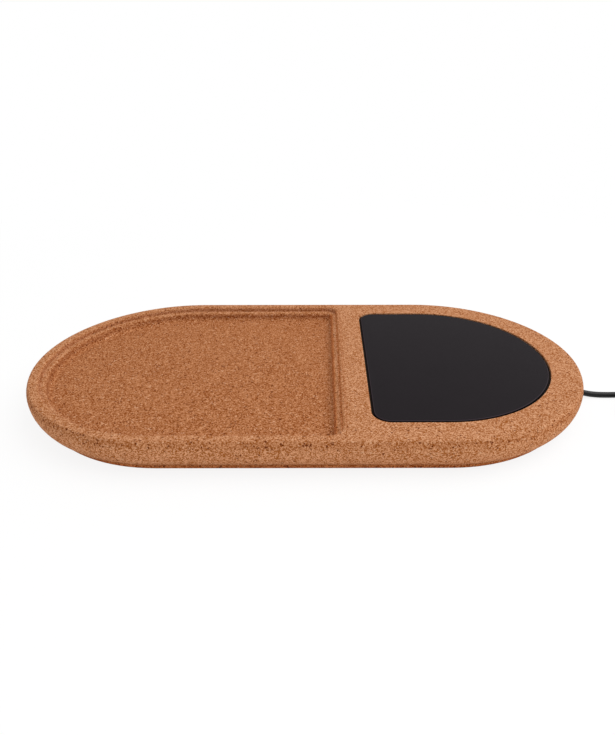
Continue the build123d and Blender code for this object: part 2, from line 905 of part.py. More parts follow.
def plug_grip():
    end_x = collar_length + grip_length
    grip = bar_x(grip_width, grip_height, collar_length, end_x, grip_round)
    grip = fillet(grip.edges().group_by(Axis.X)[0], grip_round / 2)
    for n in range(grip_rib_count):
        low_x = collar_length + grip_rib_margin + n * grip_rib_pitch
        outer = bar_x(grip_width + overrun, grip_height + overrun, low_x, low_x + grip_rib_width)
        core = bar_x(grip_width - 2 * grip_rib_depth, grip_height + overrun, low_x, low_x + grip_rib_width)
        grip -= outer - core
    outline = Polyline((0, 0), (0, collar_end_radius), (collar_length, collar_root_radius), (collar_length, 0),
                       close=True)
    collar = revolve(make_face(outline), Axis.X)
    pitch = collar_length / (collar_grooves + 1)
    for n in range(collar_grooves):
        middle = (n + 1) * pitch
        radius = collar_end_radius + (collar_root_radius - collar_end_radius) * middle / collar_length
        face = Plane(origin=(middle - collar_groove_width / 2, 0, 0), z_dir=(1, 0, 0)) * (
            Circle(radius + overrun) - Circle(radius - collar_groove_depth))
        collar -= extrude(face, collar_groove_width)
    return plug_place() * (grip + collar)


def plug_shell():
    low_x = collar_length + grip_length
    high_x = low_x + shell_length
    shell = bar_x(shell_width, shell_height, low_x, high_x, shell_round)
    hollow = bar_x(shell_width - 2 * shell_wall, shell_height - 2 * shell_wall, low_x, high_x + overrun,
                   shell_round - shell_wall)
    shell -= hollow
    window_x = high_x - shell_window_from_tip
    for side in (-1, 1):
        window = Pos(window_x, side * shell_window_y) * Rectangle(shell_window, shell_window)
        shell -= slab(window, -shell_height, shell_height)
    return plug_place() * shell


def tongue_span():
    low_x = collar_length + grip_length
    low_z = -shell_height / 2 + shell_wall
    return low_x, low_x + shell_length - tongue_tip_gap, low_z


def plug_tongue():
    low_x, high_x, low_z = tongue_span()
    width = shell_width - 2 * shell_wall - 2 * tongue_side_fit
    tongue = Pos((low_x + high_x) / 2, 0) * Rectangle(high_x - low_x, width)
    solid = slab(tongue, low_z, low_z + tongue_height)
    return plug_place() * chamfer(solid.edges().filter_by(Axis.Y).group_by(Axis.X)[-1], tongue_height / 5)


def plug_contacts():
    low_x, high_x, low_z = tongue_span()
    high_x = high_x - contact_tip_gap
    strips = []
    for y in (-contact_outer_y, -contact_inner_y, contact_inner_y, contact_outer_y):
        strip = Pos(high_x - contact_length / 2, y) * Rectangle(contact_length, contact_width)
        top = low_z + tongue_height
        strips.append(plug_place() * slab(strip, top, top + contact_height))
    return Compound(children=strips)


pieces = {
    "tray_body": tray_body,
    "base_sheet": base_sheet,
    "base_glue": base_glue,
    "pad_skin": pad_skin,
    "pad_glue": pad_glue,
    "case_top": case_top,
    "case_bottom": case_bottom,
    "case_screws": case_screws,
    "module_tape": module_tape,
    "module_foam": module_foam,
    "transmit_coil": transmit_coil,
    "coil_leads": coil_leads,
    "ferrite_sheet": ferrite_sheet,
    "shield_plate": shield_plate,
    "board_spacer": board_spacer,
    "circuit_board": circuit_board,
    "control_chip": control_chip,
    "bridge_transistors": bridge_transistors,
    "resonant_capacitors": resonant_capacitors,
    "input_inductor": input_inductor,
    "clock_crystal": clock_crystal,
    "chip_capacitors": chip_capacitors,
    "cable_bush": cable_bush,
    "held_cable": held_cable,
    "power_leads": power_leads,
    "cord_run": cord_run,
    "cord_coil": cord_coil,
    "cord_tail": cord_tail,
    "cord_tie": cord_tie,
    "plug_grip": plug_grip,
    "plug_shell": plug_shell,
    "plug_tongue": plug_tongue,
    "plug_contacts": plug_contacts,
}

for node, make in pieces.items():
    save(node, make())
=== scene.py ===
from math import cos, pi, radians, sin

import bmesh
import bpy
from mathutils import Matrix, Vector


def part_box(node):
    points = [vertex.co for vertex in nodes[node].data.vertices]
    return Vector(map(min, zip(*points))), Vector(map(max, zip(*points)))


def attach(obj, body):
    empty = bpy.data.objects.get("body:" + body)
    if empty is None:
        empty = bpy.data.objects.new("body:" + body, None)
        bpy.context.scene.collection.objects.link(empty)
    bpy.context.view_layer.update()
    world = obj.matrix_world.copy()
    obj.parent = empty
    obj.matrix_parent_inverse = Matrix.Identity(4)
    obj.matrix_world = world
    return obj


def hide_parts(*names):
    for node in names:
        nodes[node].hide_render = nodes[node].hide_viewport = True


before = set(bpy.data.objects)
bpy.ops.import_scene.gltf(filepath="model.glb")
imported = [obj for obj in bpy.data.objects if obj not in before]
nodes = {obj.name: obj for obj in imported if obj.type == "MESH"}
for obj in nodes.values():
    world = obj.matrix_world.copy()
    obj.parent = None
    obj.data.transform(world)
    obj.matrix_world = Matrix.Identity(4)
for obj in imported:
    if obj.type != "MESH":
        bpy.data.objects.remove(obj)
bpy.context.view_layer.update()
bpy.ops.object.select_all(action="DESELECT")

mm = 0.001


# Camera: held in the hand in front of the tray and a little to its right, looking down at it. The
# picture is a crop of a wider one, so the lens is shifted sideways.

picture_height_px = 735
focal_length_px = 615
middle_shift_px = 13.5
sensor = 36.0
look_down = radians(28.08)
turn = radians(-0.03)
roll = radians(-0.1)
camera_place = Vector((7.79, -278.35, 161.48)) * mm

camera_data = bpy.data.cameras.new("camera")
camera_data.sensor_width = sensor
camera_data.lens = sensor * focal_length_px / picture_height_px
camera_data.shift_x = -middle_shift_px / picture_height_px
camera_data.clip_start = 1 * mm
camera = bpy.data.objects.new("camera", camera_data)
camera.location = camera_place
camera.rotation_euler = (Matrix.Rotation(-turn, 3, "Z") @ Matrix.Rotation(pi / 2 - look_down, 3, "X")
                         @ Matrix.Rotation(roll, 3, "Z")).to_euler()
bpy.context.scene.collection.objects.link(camera)
bpy.context.scene.camera = camera


# Cable: a round black jacketed cable, three millimetres thick. It leaves the slot under the right
# end, comes down to the desk and runs off to the right, where the rest of it is wound for storage.

cable_diameter = 3.0 * mm
cable_exit = Vector((132.24, -8.2, 3.7)) * mm
coil_gap = 0.45 * mm
coil_inner_radius = 12.0 * mm
coil_in_half_turns = 8
coil_out_half_turns = 7
coil_end_straight = 3.0 * mm
points_per_half_turn = 12
coil_low_z = 2.0 * mm
tail_z = 4.0 * mm

coil_pitch = cable_diameter + coil_gap
coil_step = coil_pitch / 2
coil_high_z = coil_low_z + coil_pitch
coil_outer_radius = coil_inner_radius + (coil_in_half_turns - 1) * coil_step

cable_route = [cable_exit + Vector((x, y, z)) * mm for x, y, z in [
    (0.0, 0.0, 0.0),
    (5.0, 0.0, 0.0),
    (13.0, -0.1, -2.2),
    (24.5, -0.55, -2.2),
    (36.0, 0.0, -1.7),
    (44.0, 0.0, -1.7),
]]

heading = Vector((1, 0, 0))
here = cable_route[-1] + heading * coil_end_straight
cable_route.append(here.copy())
coil_middle = here - Vector((0, coil_outer_radius, 0))


def wind(here, heading, radius, rise=0, share=1):
    """Add points for one half turn, or a share of it, and return where and which way it ends."""
    side = Vector((heading.y, -heading.x, 0))
    centre = here + side * radius
    steps = round(points_per_half_turn * share)
    outer = radius / cos(pi / points_per_half_turn / 2)
    for n in range(steps):
        angle = (n + 0.5) * pi / points_per_half_turn
        place = centre - side * (outer * cos(angle)) + heading * (outer * sin(angle))
        cable_route.append(place + Vector((0, 0, rise * (n + 0.5) / steps)))
    angle = steps * pi / points_per_half_turn
    end = centre - side * (radius * cos(angle)) + heading * (radius * sin(angle))
    onward = side * sin(angle) + heading * cos(angle)
    return end + Vector((0, 0, rise)), onward.normalized()


for n in range(coil_in_half_turns):
    here, heading = wind(here, heading, coil_outer_radius - n * coil_step)
here, heading = wind(here, heading, coil_inner_radius - coil_step, rise=coil_pitch)
for n in range(coil_out_half_turns):
    here, heading = wind(here, heading, coil_inner_radius + n * coil_step)
here, heading = wind(here, heading, coil_inner_radius + coil_out_half_turns * coil_step, share=0.5)
cable_route.append(here + heading * coil_end_straight)
tail_start = cable_route[-1].copy()
cable_route += [tail_start + Vector((0, y, z)) * mm for y, z in [
    (-4.0, 0.0),
    (-11.0, (tail_z - coil_high_z) / mm),
    (-15.0, (tail_z - coil_high_z) / mm),
]]

cable_curve = bpy.data.curves.new("cable", "CURVE")
cable_curve.dimensions = "3D"
cable_curve.bevel_depth = 1.0
cable_curve.bevel_resolution = 4
cable_curve.use_fill_caps = True
cable_line = cable_curve.splines.new("NURBS")
cable_line.points.add(len(cable_route) - 1)
for point, place in zip(cable_line.points, cable_route):
    point.co = (*place, 1)
    point.radius = cable_diameter / 2
cable_line.order_u = 3
cable_line.use_endpoint_u = True
cable_line.resolution_u = 5
cable = bpy.data.objects.new("cable", cable_curve)
bpy.context.scene.collection.objects.link(cable)
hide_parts("cord_run", "cord_coil", "cord_tail")
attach(cable, "root")


class Value:
    """A socket of a material or a world, so that sums on it are written as sums."""

    def __init__(self, shading, socket):
        self.shading = shading
        self.socket = socket

    def math(self, operation, *others, clamp=False):
        """A sum of this value and others, named as the Math node names it."""
        settings ={"operation": operation, "use_clamp": clamp}
        return self.shading.node("ShaderNodeMath", settings, dict(enumerate((self, *others))))

    def __add__(self, other):
        return self.math("ADD", other)

    def __radd__(self, other):
        return self.math("ADD", other)

    def __sub__(self, other):
        return self.math("SUBTRACT", other)

    def __rsub__(self, other):
        return self.shading.node("ShaderNodeMath", {"operation": "SUBTRACT"}, {0: other, 1: self})

    def __mul__(self, other):
        return self.math("MULTIPLY", other)

    def __rmul__(self, other):
        return self.math("MULTIPLY", other)

    def __truediv__(self, other):
        return self.math("DIVIDE", other)

    def over(self, edge, soft):
        """A mask: 0 below an edge, 1 above it, over a soft width."""
        return ((self - edge) / soft).math("ADD", 0.5, clamp=True)

    def under(self, edge, soft):
        """A mask: 1 below an edge, 0 above it, over a soft width."""
        return ((edge - self) / soft).math("ADD", 0.5, clamp=True)

    def between(self, low, high):
        """A mask: 1 from a low to a high edge, each given with its soft width."""
        return self.over(*low) * self.under(*high)

    def swing(self, amount, about=1.0):
        """A number that crosses a range of this amount, about a middle, as this value goes from 0 to 1."""
        return (about - amount / 2) + amount * self

    def shaded(self, colour):
        """A colour made lighter or darker by this value."""
        settings = {"operation": "SCALE"}
        return self.shading.node("ShaderNodeVectorMath", settings, {0: colour, "Scale": self})

    def mix(self, low, high):
        """Between two colours by this value."""
        sockets = {0: self, 6: low, 7: high}
        return self.shading.node("ShaderNodeMix", {"data_type": "RGBA"}, sockets, output=2)


class Shading:
    """The nodes of a material or a world in the making, all made by one method."""

    def __init__(self, tree):
        self.tree = tree

    def feed(self, socket, value):
        """Link a value to a socket, or set the socket to a number, a vector or a colour."""
        if isinstance(value, Value):
            self.tree.links.new(value.socket, socket)
        elif isinstance(value, tuple) and len(socket.default_value) > len(value):
            socket.default_value = (*value, 1)
        else:
            socket.default_value = value

    def node(self, kind, settings, sockets, output=0):
        """Make a node, set it up, feed its sockets and hand back one of its outputs."""
        made = self.tree.nodes.new(kind)
        for key, value in settings.items():
            setattr(made, key, value)
        for key, value in sockets.items():
            self.feed(made.inputs[key], value)
        return Value(self, made.outputs[output])


class Finish(Shading):
    """A material in the making, whose patterns read object coordinates."""

    def __init__(self, name, roughness, specular=0.5, metallic=0.0):
        self.material = bpy.data.materials.new(name)
        self.material.use_nodes = True
        super().__init__(self.material.node_tree)
        self.shader = self.tree.nodes["Principled BSDF"]
        self.set("Roughness", roughness)
        self.set("Specular IOR Level", specular)
        self.set("Metallic", metallic)
        self.place = self.node("ShaderNodeTexCoord", {}, {}, output="Object")

    def set(self, name, value):
        """Feed one input of the shader."""
        self.feed(self.shader.inputs[name], value)

    def axis(self, name):
        """One object coordinate, in metres."""
        return self.node("ShaderNodeSeparateXYZ", {}, {0: self.place}, output=name)

    def noise(self, size, detail=2.0, place=None):
        """A soft random pattern, 0 to 1 about a half, whose lumps are about this many metres wide."""
        sockets = {"Vector": place or self.place, "Scale": 1 / size, "Detail": detail}
        return self.node("ShaderNodeTexNoise", {}, sockets)

    def grains(self, size, place):
        """A random value for each of many small cells, even from 0 to 1."""
        sockets = {"Vector": place, "Scale": 1 / size}
        colour = self.node("ShaderNodeTexVoronoi", {}, sockets, output="Color")
        return self.node("ShaderNodeSeparateColor", {}, {0: colour})

    def seams(self, size, place=None):
        """How far from the border between two cells, as a share of their size."""
        sockets = {"Vector": place or self.place, "Scale": 1 / size}
        return self.node("ShaderNodeTexVoronoi", {"feature": "DISTANCE_TO_EDGE"}, sockets)

    def bump(self, height, depth):
        """Relief: a height from 0 to 1 stands this many metres proud."""
        sockets = {"Strength": 1.0, "Distance": depth, "Height": height}
        self.set("Normal", self.node("ShaderNodeBump", {}, sockets))

    def give(self, *pieces):
        """Put the finish on pieces, in place of what they had."""
        for piece in pieces:
            piece.data.materials.clear()
            piece.data.materials.append(self.material)


black_specular = 0.2
black_cloud_in_grains = 25
black_swing = 0.4
black_gloss_swing = 0.12


def smooth_black(name, colour, grain, relief, roughness):
    """Moulded or extruded black plastic with a faint grain."""
    finish = Finish(name, roughness, black_specular)
    lumps = finish.noise(grain, detail=3.0)
    clouds = finish.noise(grain * black_cloud_in_grains)
    finish.set("Base Color", clouds.swing(black_swing).shaded(colour))
    finish.set("Roughness", lumps.swing(black_gloss_swing, about=roughness))
    finish.bump(lumps, relief)
    return finish


jacket = smooth_black("cable_jacket", colour=(0.007, 0.007, 0.0075), grain=0.5 * mm, relief=0.01 * mm,
                      roughness=0.36)
jacket.give(cable, nodes["held_cable"], nodes["cable_bush"])


# Tie: a black woven strap round the coil's turns, five millimetres wide, whose two ends are pressed
# together and stand out at the side.

tie_left = coil_middle.x + 6.55 * mm
tie_right = tie_left + 21.25 * mm
tie_tail = tie_right + 8.6 * mm
tie_high = 7.45 * mm
tie_middle = coil_middle.y
tie_width = 5.0 * mm
tie_thick = 0.4 * mm
tie_bend = 1.6 * mm
tie_bend_steps = 6
tie_edge_steps = 2
bent_angle = 1.0
smooth_angle = radians(40)
weld_distance = 0.001 * mm


def begin(name, add, **settings):
    """Add one primitive with all else deselected, put its place in its mesh and open it for editing."""
    bpy.ops.object.select_all(action="DESELECT")
    add(**settings)
    piece = bpy.context.object
    piece.name = name
    bpy.ops.object.transform_apply(location=True, rotation=True, scale=True)
    bpy.ops.object.mode_set(mode="EDIT")
    return piece


def pick(piece, kind, wanted):
    """Select the edges or the faces that a test wants, and nothing else."""
    bpy.ops.mesh.select_mode(type=kind)
    bpy.ops.mesh.select_all(action="DESELECT")
    mesh = bmesh.from_edit_mesh(piece.data)
    for part in {"EDGE": mesh.edges, "FACE": mesh.faces}[kind]:
        if wanted(part):
            part.select_set(True)
    bmesh.update_edit_mesh(piece.data)


def finish_mesh():
    """Close the edit: normals outward, and smooth shading but for the sharp edges."""
    bpy.ops.mesh.select_all(action="SELECT")
    bpy.ops.mesh.remove_doubles(threshold=weld_distance)
    bpy.ops.mesh.normals_make_consistent(inside=False)
    bpy.ops.object.mode_set(mode="OBJECT")
    bpy.ops.object.shade_smooth_by_angle(angle=smooth_angle)


def near(value, target, slack=0.01 * mm):
    """Whether two lengths are the same but for rounding."""
    return abs(value - target) < slack


tie_piece = begin("storage_tie", bpy.ops.mesh.primitive_cube_add, size=1.0,
                  location=((tie_left + tie_right) / 2, tie_middle, tie_high / 2),
                  scale=(tie_right - tie_left, tie_width, tie_high))
pick(tie_piece, "FACE", lambda face: abs(face.normal.y) > 0.5)
bpy.ops.mesh.delete(type="ONLY_FACE")
pick(tie_piece, "EDGE", lambda edge: near(edge.verts[0].co.x, edge.verts[1].co.x)
     and near(edge.verts[0].co.z, edge.verts[1].co.z))
bpy.ops.mesh.bevel(offset=tie_bend, segments=tie_bend_steps, affect="EDGES")
finish_mesh()
solid = tie_piece.modifiers.new("thickness", "SOLIDIFY")
solid.thickness = tie_thick
solid.offset = -1
bpy.ops.object.modifier_apply(modifier="thickness")

tie_tail_start = tie_right - tie_thick / 2
tail_piece = begin("tie_tail", bpy.ops.mesh.primitive_cube_add, size=1.0,
                   location=((tie_tail_start + tie_tail) / 2, tie_middle, tie_high / 2),
                   scale=(tie_tail - tie_tail_start, tie_width, 2 * tie_thick))
pick(tail_piece, "EDGE", lambda edge: all(near(corner.co.x, tie_tail) for corner in edge.verts)
     and not near(edge.verts[0].co.z, edge.verts[1].co.z))
bpy.ops.mesh.bevel(offset=tie_bend, segments=tie_bend_steps, affect="EDGES")
pick(tail_piece, "EDGE", lambda edge: len(edge.link_faces) == 2 and edge.calc_face_angle() > bent_angle)
bpy.ops.mesh.bevel(offset=tie_thick / 4, segments=tie_edge_steps, affect="EDGES")
finish_mesh()
tie_piece.select_set(True)
bpy.context.view_layer.objects.active = tie_piece
bpy.ops.object.join()
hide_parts("cord_tie")
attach(tie_piece, "root")

strap_black = (0.02, 0.02, 0.021)
weave_size = 4 * mm
weave_waver = 0.4
weave_swing = 0.8
weave_relief = 0.05 * mm

tie = Finish("woven_tie", roughness=0.9)
weave_sockets = {"Vector": tie.place, "Scale": 1 / weave_size, "Distortion": weave_waver}
weave = tie.node("ShaderNodeTexWave", {}, weave_sockets, output="Fac")
tie.set("Base Color", weave.swing(weave_swing).shaded(strap_black))
tie.bump(weave, weave_relief)
tie.give(tie_piece)


# Tray body: one block of cork granules, pressed to shape and left bare. The granules are under half a
# millimetre across, light and dark mixed evenly, with a few dark and pale bits. Pressing has left more
# dark bits at the brow of the edge. The brow's deeper tone and the pocket's are painted shade, and the
# paler flank below the brow is painted light.

granule = 0.42 * mm
speck = 0.64 * mm
lump = 1.5 * mm
cloud = 16 * mm
granule_part = 1.6
lump_part = 0.25
cloud_part = 0.35
deep_share = (0.64, 0.43, 0.16)
bit_soft = 0.02
dark_bit = (0.12, 0.020, 0.002)
dark_bit_cover = 0.92
pale_bit = (0.72, 0.42, 0.25)
pale_bit_cover = 0.6
pale_bits = 0.025
seam_edge = (0.05, 0.1)
skin_grain = 0.3 * mm
skin_relief = 0.03 * mm
flat_height = 0.5
granule_height = 0.3
skin_grain_height = 0.2
dark_bit_depth = 0.4


class Cork(Finish):
    """Pressed cork: small granules between a deep and a pale tone, bits and a rough skin."""

    def __init__(self, name, tone):
        super().__init__(name, roughness=0.9, specular=0.1)
        waver_sockets = {"Vector": self.place, "Scale": 1 / lump}
        waver = self.node("ShaderNodeTexNoise", {}, waver_sockets, output="Color")
        shift = self.node("ShaderNodeVectorMath", {"operation": "SCALE"}, {0: waver, "Scale": granule})
        self.wavy = self.node("ShaderNodeVectorMath", {"operation": "ADD"}, {0: self.place, 1: shift})
        self.grain = self.grains(granule, self.wavy)
        self.specks = self.grains(speck, self.wavy)
        lumps = self.noise(lump)
        clouds = self.noise(cloud, detail=3.0)
        middle = (granule_part + lump_part + cloud_part) / 2
        spread = granule_part * self.grain + lump_part * lumps + cloud_part * clouds - middle
        deep = tuple(part * share for part, share in zip(tone, deep_share))
        light = tuple(part * (2 - share) for part, share in zip(tone, deep_share))
        self.colour = (0.5 + spread).mix(deep, light)

    def tint(self, mask, tone):
        """Multiply the colour by a tone where a mask is 1."""
        settings = {"data_type": "RGBA", "blend_type": "MULTIPLY"}
        self.colour = self.node("ShaderNodeMix", settings, {0: mask, 6: self.colour, 7: tone}, output=2)

    def skin(self, dark_bits):
        """Put on the dark and pale bits, a share of the cells each, and the relief of the granules."""
        dark = self.specks.over(1 - dark_bits, bit_soft)
        pale = self.specks.under(pale_bits, bit_soft)
        speckled = (dark_bit_cover * dark).mix(self.colour, dark_bit)
        self.set("Base Color", (pale_bit_cover * pale).mix(speckled, pale_bit))
        flats = self.seams(granule, self.wavy).over(*seam_edge)
        fine = self.noise(skin_grain)
        height = flat_height * flats + granule_height * self.grain + skin_grain_height * fine
        self.bump(height - dark_bit_depth * dark, skin_relief)


# The pocket, the divider's walls and lip, and the brow, flank and foot of the tray's edge differ in tone,
# as painted shade or light, at the foot partly for the dark glue line. Each border of one has the width
# over which it fades beside it.
end_centre = 63.0 * mm
edge_fade = 1.0 * mm
pocket_side = (67.9 * mm, edge_fade)
pocket_end = (16.9 * mm, edge_fade)
pocket_z = (10.0 * mm, edge_fade), (15.0 * mm, edge_fade)
divider_side = (64.9 * mm, 3.0 * mm)
wall_x = (12.9 * mm, edge_fade), (18.5 * mm, edge_fade)
lower_wall_z = (12.0 * mm, 0.8 * mm), (15.1 * mm, 0.6 * mm)
upper_wall_z = (15.2 * mm, 0.3 * mm), (17.7 * mm, 0.5 * mm)
upper_wall_x = (16.2 * mm, 0.6 * mm)
lip_x = (17.9 * mm, 0.8 * mm), (19.1 * mm, 1.2 * mm)
brow_low = (14.6 * mm, 2.5 * mm)
brow_high = (17.2 * mm, 1.2 * mm)
brow_rise = 0.4 * mm
brow_rise_end = (16.9 * mm, 12.0 * mm)
foot_high = (5.5 * mm, 3.0 * mm)
foot_line_high = (4.9 * mm, 0.8 * mm)

cork_tone = (0.437, 0.188, 0.0845)
pocket_painted_shade = (0.80, 0.64, 0.455)
pocket_cover_deep = 1.1
pocket_cover_light = 0.5
wall_painted_light = (1.32, 1.17, 0.94)
lip_painted_shade = (0.90, 0.82, 0.75)
brow_painted_shade = (0.975, 0.895, 0.80)
flank_painted_light = (1.155, 1.145, 1.12)
foot_cover = 0.75
foot_glue_line_and_shade = (0.71, 0.58, 0.43)
deck_bits = 0.017
brow_bits = 0.040
pocket_bits = 0.016

body_cork = Cork("pressed_cork", cork_tone)
body_x = body_cork.axis("X")
body_y = body_cork.axis("Y")
body_z = body_cork.axis("Z")
round_x = (body_x.math("ABSOLUTE") - end_centre).math("MAXIMUM", 0.0)
from_middle = (round_x * round_x + body_y * body_y).math("SQRT")

in_pocket = from_middle.under(*pocket_side) * body_x.under(*pocket_end) * body_z.between(*pocket_z)
pocket_cover = pocket_cover_deep + (pocket_cover_light - pocket_cover_deep) * body_cork.grain

along_divider = body_y.math("ABSOLUTE").under(*divider_side)
lower_wall = body_z.between(*lower_wall_z)
upper_wall = body_z.between(*upper_wall_z) * body_x.over(*upper_wall_x)
wall = along_divider * body_x.between(*wall_x) * (lower_wall + upper_wall)
lip = along_divider * body_x.between(*lip_x)

outside = from_middle.over(*pocket_side)
above = body_z.over(*brow_low)
crest = (body_z - brow_rise * body_x.under(*brow_rise_end)).over(*brow_high)
brow = outside * above * (1 - crest)
flank = outside * (1 - above) * (foot_cover + (1 - foot_cover) * body_z.over(*foot_high))
foot_line = outside * body_z.under(*foot_line_high)

# Painted shade: the pocket's floor and walls darker than the deck, more so on dark granules.
body_cork.tint(in_pocket * pocket_cover, pocket_painted_shade)
# Painted light: the divider's walls lighter and warmer, as if lit by light bounced off the cork.
body_cork.tint(wall, wall_painted_light)
# Painted shade: a band along the divider's lip made darker, as on a wider rounding.
body_cork.tint(lip, lip_painted_shade)
# Painted shade: the brow of the edge darker.
body_cork.tint(brow, brow_painted_shade)
# Painted light: the flank paler, as if lit from the desk, a little less so near the foot.
body_cork.tint(flank, flank_painted_light)
# The dark line along the foot: partly the glue line there, partly painted shade.
body_cork.tint(foot_line, foot_glue_line_and_shade)
body_cork.skin(deck_bits + brow_bits * brow + pocket_bits * in_pocket)
body_cork.give(nodes["tray_body"])


# Base sheet: a thin sheet of the same cork in a redder grade with more dark bits, cut a little smaller
# than the foot and glued on to close the bay.

base_tone = (0.55, 0.180, 0.054)
base_bits = 0.04

base_cork = Cork("base_cork", base_tone)
base_cork.skin(base_bits)
base_cork.give(nodes["base_sheet"])


# Charging pad: a thin soft charcoal skin, glued into the deck with a narrow gap all round. Its edge
# is rolled over softly. Its sides are darkened as painted shade in the gap, and the roll has a painted
# highlight, a thin paler line. It is dead matt, with a very fine leathery grain.

pad_low_corner, pad_high_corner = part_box("pad_skin")
pad_left = pad_low_corner.x
pad_low = pad_low_corner.z
pad_high = pad_high_corner.z
pad_radius = pad_high_corner.y
pad_middle = pad_high_corner.x - pad_radius
pad_facets = 160
pad_corner = 7.5 * mm
pad_corner_steps = 12
pad_edge = 0.6 * mm
pad_edge_steps = 6

pad_piece = begin("charging_pad", bpy.ops.mesh.primitive_cylinder_add, vertices=pad_facets,
                  radius=pad_radius, depth=pad_high - pad_low,
                  location=(pad_middle, 0, (pad_low + pad_high) / 2))
bpy.ops.mesh.select_all(action="SELECT")
bpy.ops.mesh.bisect(plane_co=(pad_middle, 0, 0), plane_no=(1, 0, 0), clear_inner=True)
pick(pad_piece, "EDGE", lambda edge: all(near(corner.co.x, pad_middle) for corner in edge.verts))
bpy.ops.mesh.extrude_region_move(TRANSFORM_OT_translate={"value": (pad_left - pad_middle, 0, 0)})
bpy.ops.mesh.edge_face_add()
pick(pad_piece, "EDGE", lambda edge: all(near(corner.co.x, pad_left) for corner in edge.verts)
     and near(edge.verts[0].co.y, edge.verts[1].co.y))
bpy.ops.mesh.bevel(offset=pad_corner, segments=pad_corner_steps, affect="EDGES")
pick(pad_piece, "FACE", lambda face: all(near(corner.co.z, pad_high) for corner in face.verts))
bpy.ops.mesh.region_to_loop()
bpy.ops.mesh.bevel(offset=pad_edge, segments=pad_edge_steps, affect="EDGES")
finish_mesh()
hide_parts("pad_skin")
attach(pad_piece, "root")

pad_colour = (0.0088, 0.0064, 0.0080)
pad_grain = 0.45 * mm
pad_seam_edge = (0.05, 0.2)
pad_fine_grain = 0.2 * mm
pad_cloud = 18 * mm
pad_least_tone = 0.86
pad_lump_tone = 0.12
pad_cloud_tone = 0.16
pad_side_high = (pad_high - 0.17 * mm, 0.06 * mm)
pad_side_painted_shade = 0.1
pad_roll_high = (pad_high - 0.02 * mm, 0.02 * mm)
pad_roll_painted_highlight = 3.0
pad_roughness = 0.84
pad_lump_gloss = 0.12
pad_lump_height = 0.7
pad_relief = 0.015 * mm

pad = Finish("pad_skin", roughness=pad_roughness, specular=0.1)
pad_lumps = pad.seams(pad_grain).over(*pad_seam_edge)
pad_pattern = pad_least_tone + pad_lump_tone * pad_lumps + pad_cloud_tone * pad.noise(pad_cloud)
pad_z = pad.axis("Z")
pad_face = pad_z.over(*pad_side_high)
pad_roll = pad_face * pad_z.under(*pad_roll_high)
# Painted shade on the pad's sides in the gap, and a painted highlight along its rolled edge.
pad_shade_and_highlight = pad_side_painted_shade + (1 - pad_side_painted_shade) * pad_face + pad_roll_painted_highlight * pad_roll
pad.set("Base Color", (pad_pattern * pad_shade_and_highlight).shaded(pad_colour))
pad.set("Roughness", pad_roughness - pad_lump_gloss * pad_lumps)
pad_height = pad_lump_height * pad_lumps + (1 - pad_lump_height) * pad.noise(pad_fine_grain)
pad.bump(pad_height, pad_relief)
pad.give(pad_piece)


# Glue films, tape and foam: dark set glue under the pad and over the base sheet, where its edge is the
# line along the foot, and a pale foam tape that holds the charger to the roof of its bay. The glue is dark
# of itself and made near black as painted shade in the gap round the pad. A block of foam presses the
# charger up from below, and a thin disc of it keeps the board off the shield.


def mottled(name, colour, swing, patch, grain, relief, roughness, specular=0.5, detail=2.0):
    """A plain finish whose tone swings a little from patch to patch, with a fine relief."""
    finish = Finish(name, roughness, specular)
    finish.set("Base Color", finish.noise(patch, detail).swing(swing).shaded(colour))
    finish.bump(finish.noise(grain, detail), relief)
    return finish


# Set glue, dark of itself and made near black as painted shade in the pad's gap.
glue = mottled("set_glue", colour=(0.008, 0.004, 0.002), swing=0.8, patch=2 * mm, grain=0.6 * mm,
               relief=0.04 * mm, roughness=0.8, specular=0.1)
glue.give(nodes["base_glue"], nodes["pad_glue"])

tape = mottled("foam_tape", colour=(0.62, 0.62, 0.58), swing=0.3, patch=1.2 * mm, grain=0.4 * mm,
               relief=0.02 * mm, roughness=0.7)
tape.give(nodes["module_tape"])

foam_grey = (0.05, 0.05, 0.055)
foam_cell = 0.5 * mm
foam_wall = (0.08, 0.15)
foam_wall_tone = 0.45
foam_cell_tone = 0.6
foam_relief = 0.1 * mm

foam = Finish("cell_foam", roughness=0.95)
foam_cells = foam.seams(foam_cell).over(*foam_wall)
foam.set("Base Color", (foam_wall_tone + foam_cell_tone * foam_cells).shaded(foam_grey))
foam.bump(foam_cells, foam_relief)
foam.give(nodes["module_foam"], nodes["board_spacer"])


# Charger puck: two black moulded shells with a fine grain, one over the other, held together by
# three cross-head screws in plated steel.

case_plastic = smooth_black("case_plastic", colour=(0.02, 0.02, 0.021), grain=0.35 * mm,
                            relief=0.02 * mm, roughness=0.55)
case_plastic.give(nodes["case_top"], nodes["case_bottom"])

scratch_stretch = (1.0, 12.0, 1.0)
scratch_relief = 0.004 * mm
metal_cloud_in_scratches = 8
metal_swing = 0.3
metal_gloss_swing = 0.16


def metal(name, colour, roughness, scratch):
    """Plated or rolled metal with faint scratches."""
    finish = Finish(name, roughness, metallic=1.0)
    stretch = finish.node("ShaderNodeMapping", {}, {"Vector": finish.place, "Scale": scratch_stretch})
    lines = finish.noise(scratch, detail=4.0, place=stretch)
    clouds = finish.noise(scratch * metal_cloud_in_scratches)
    finish.set("Base Color", clouds.swing(metal_swing).shaded(colour))
    finish.set("Roughness", lines.swing(metal_gloss_swing, about=roughness))
    finish.bump(lines, scratch_relief)
    return finish


screw_steel = metal("screw_steel", colour=(0.55, 0.55, 0.57), roughness=0.3, scratch=0.8 * mm)
screw_steel.give(nodes["case_screws"])


# Winding, ferrite and shield: flat stranded copper wire in one spiral, a grey ferrite disc behind
# it and a thin aluminium plate behind that.

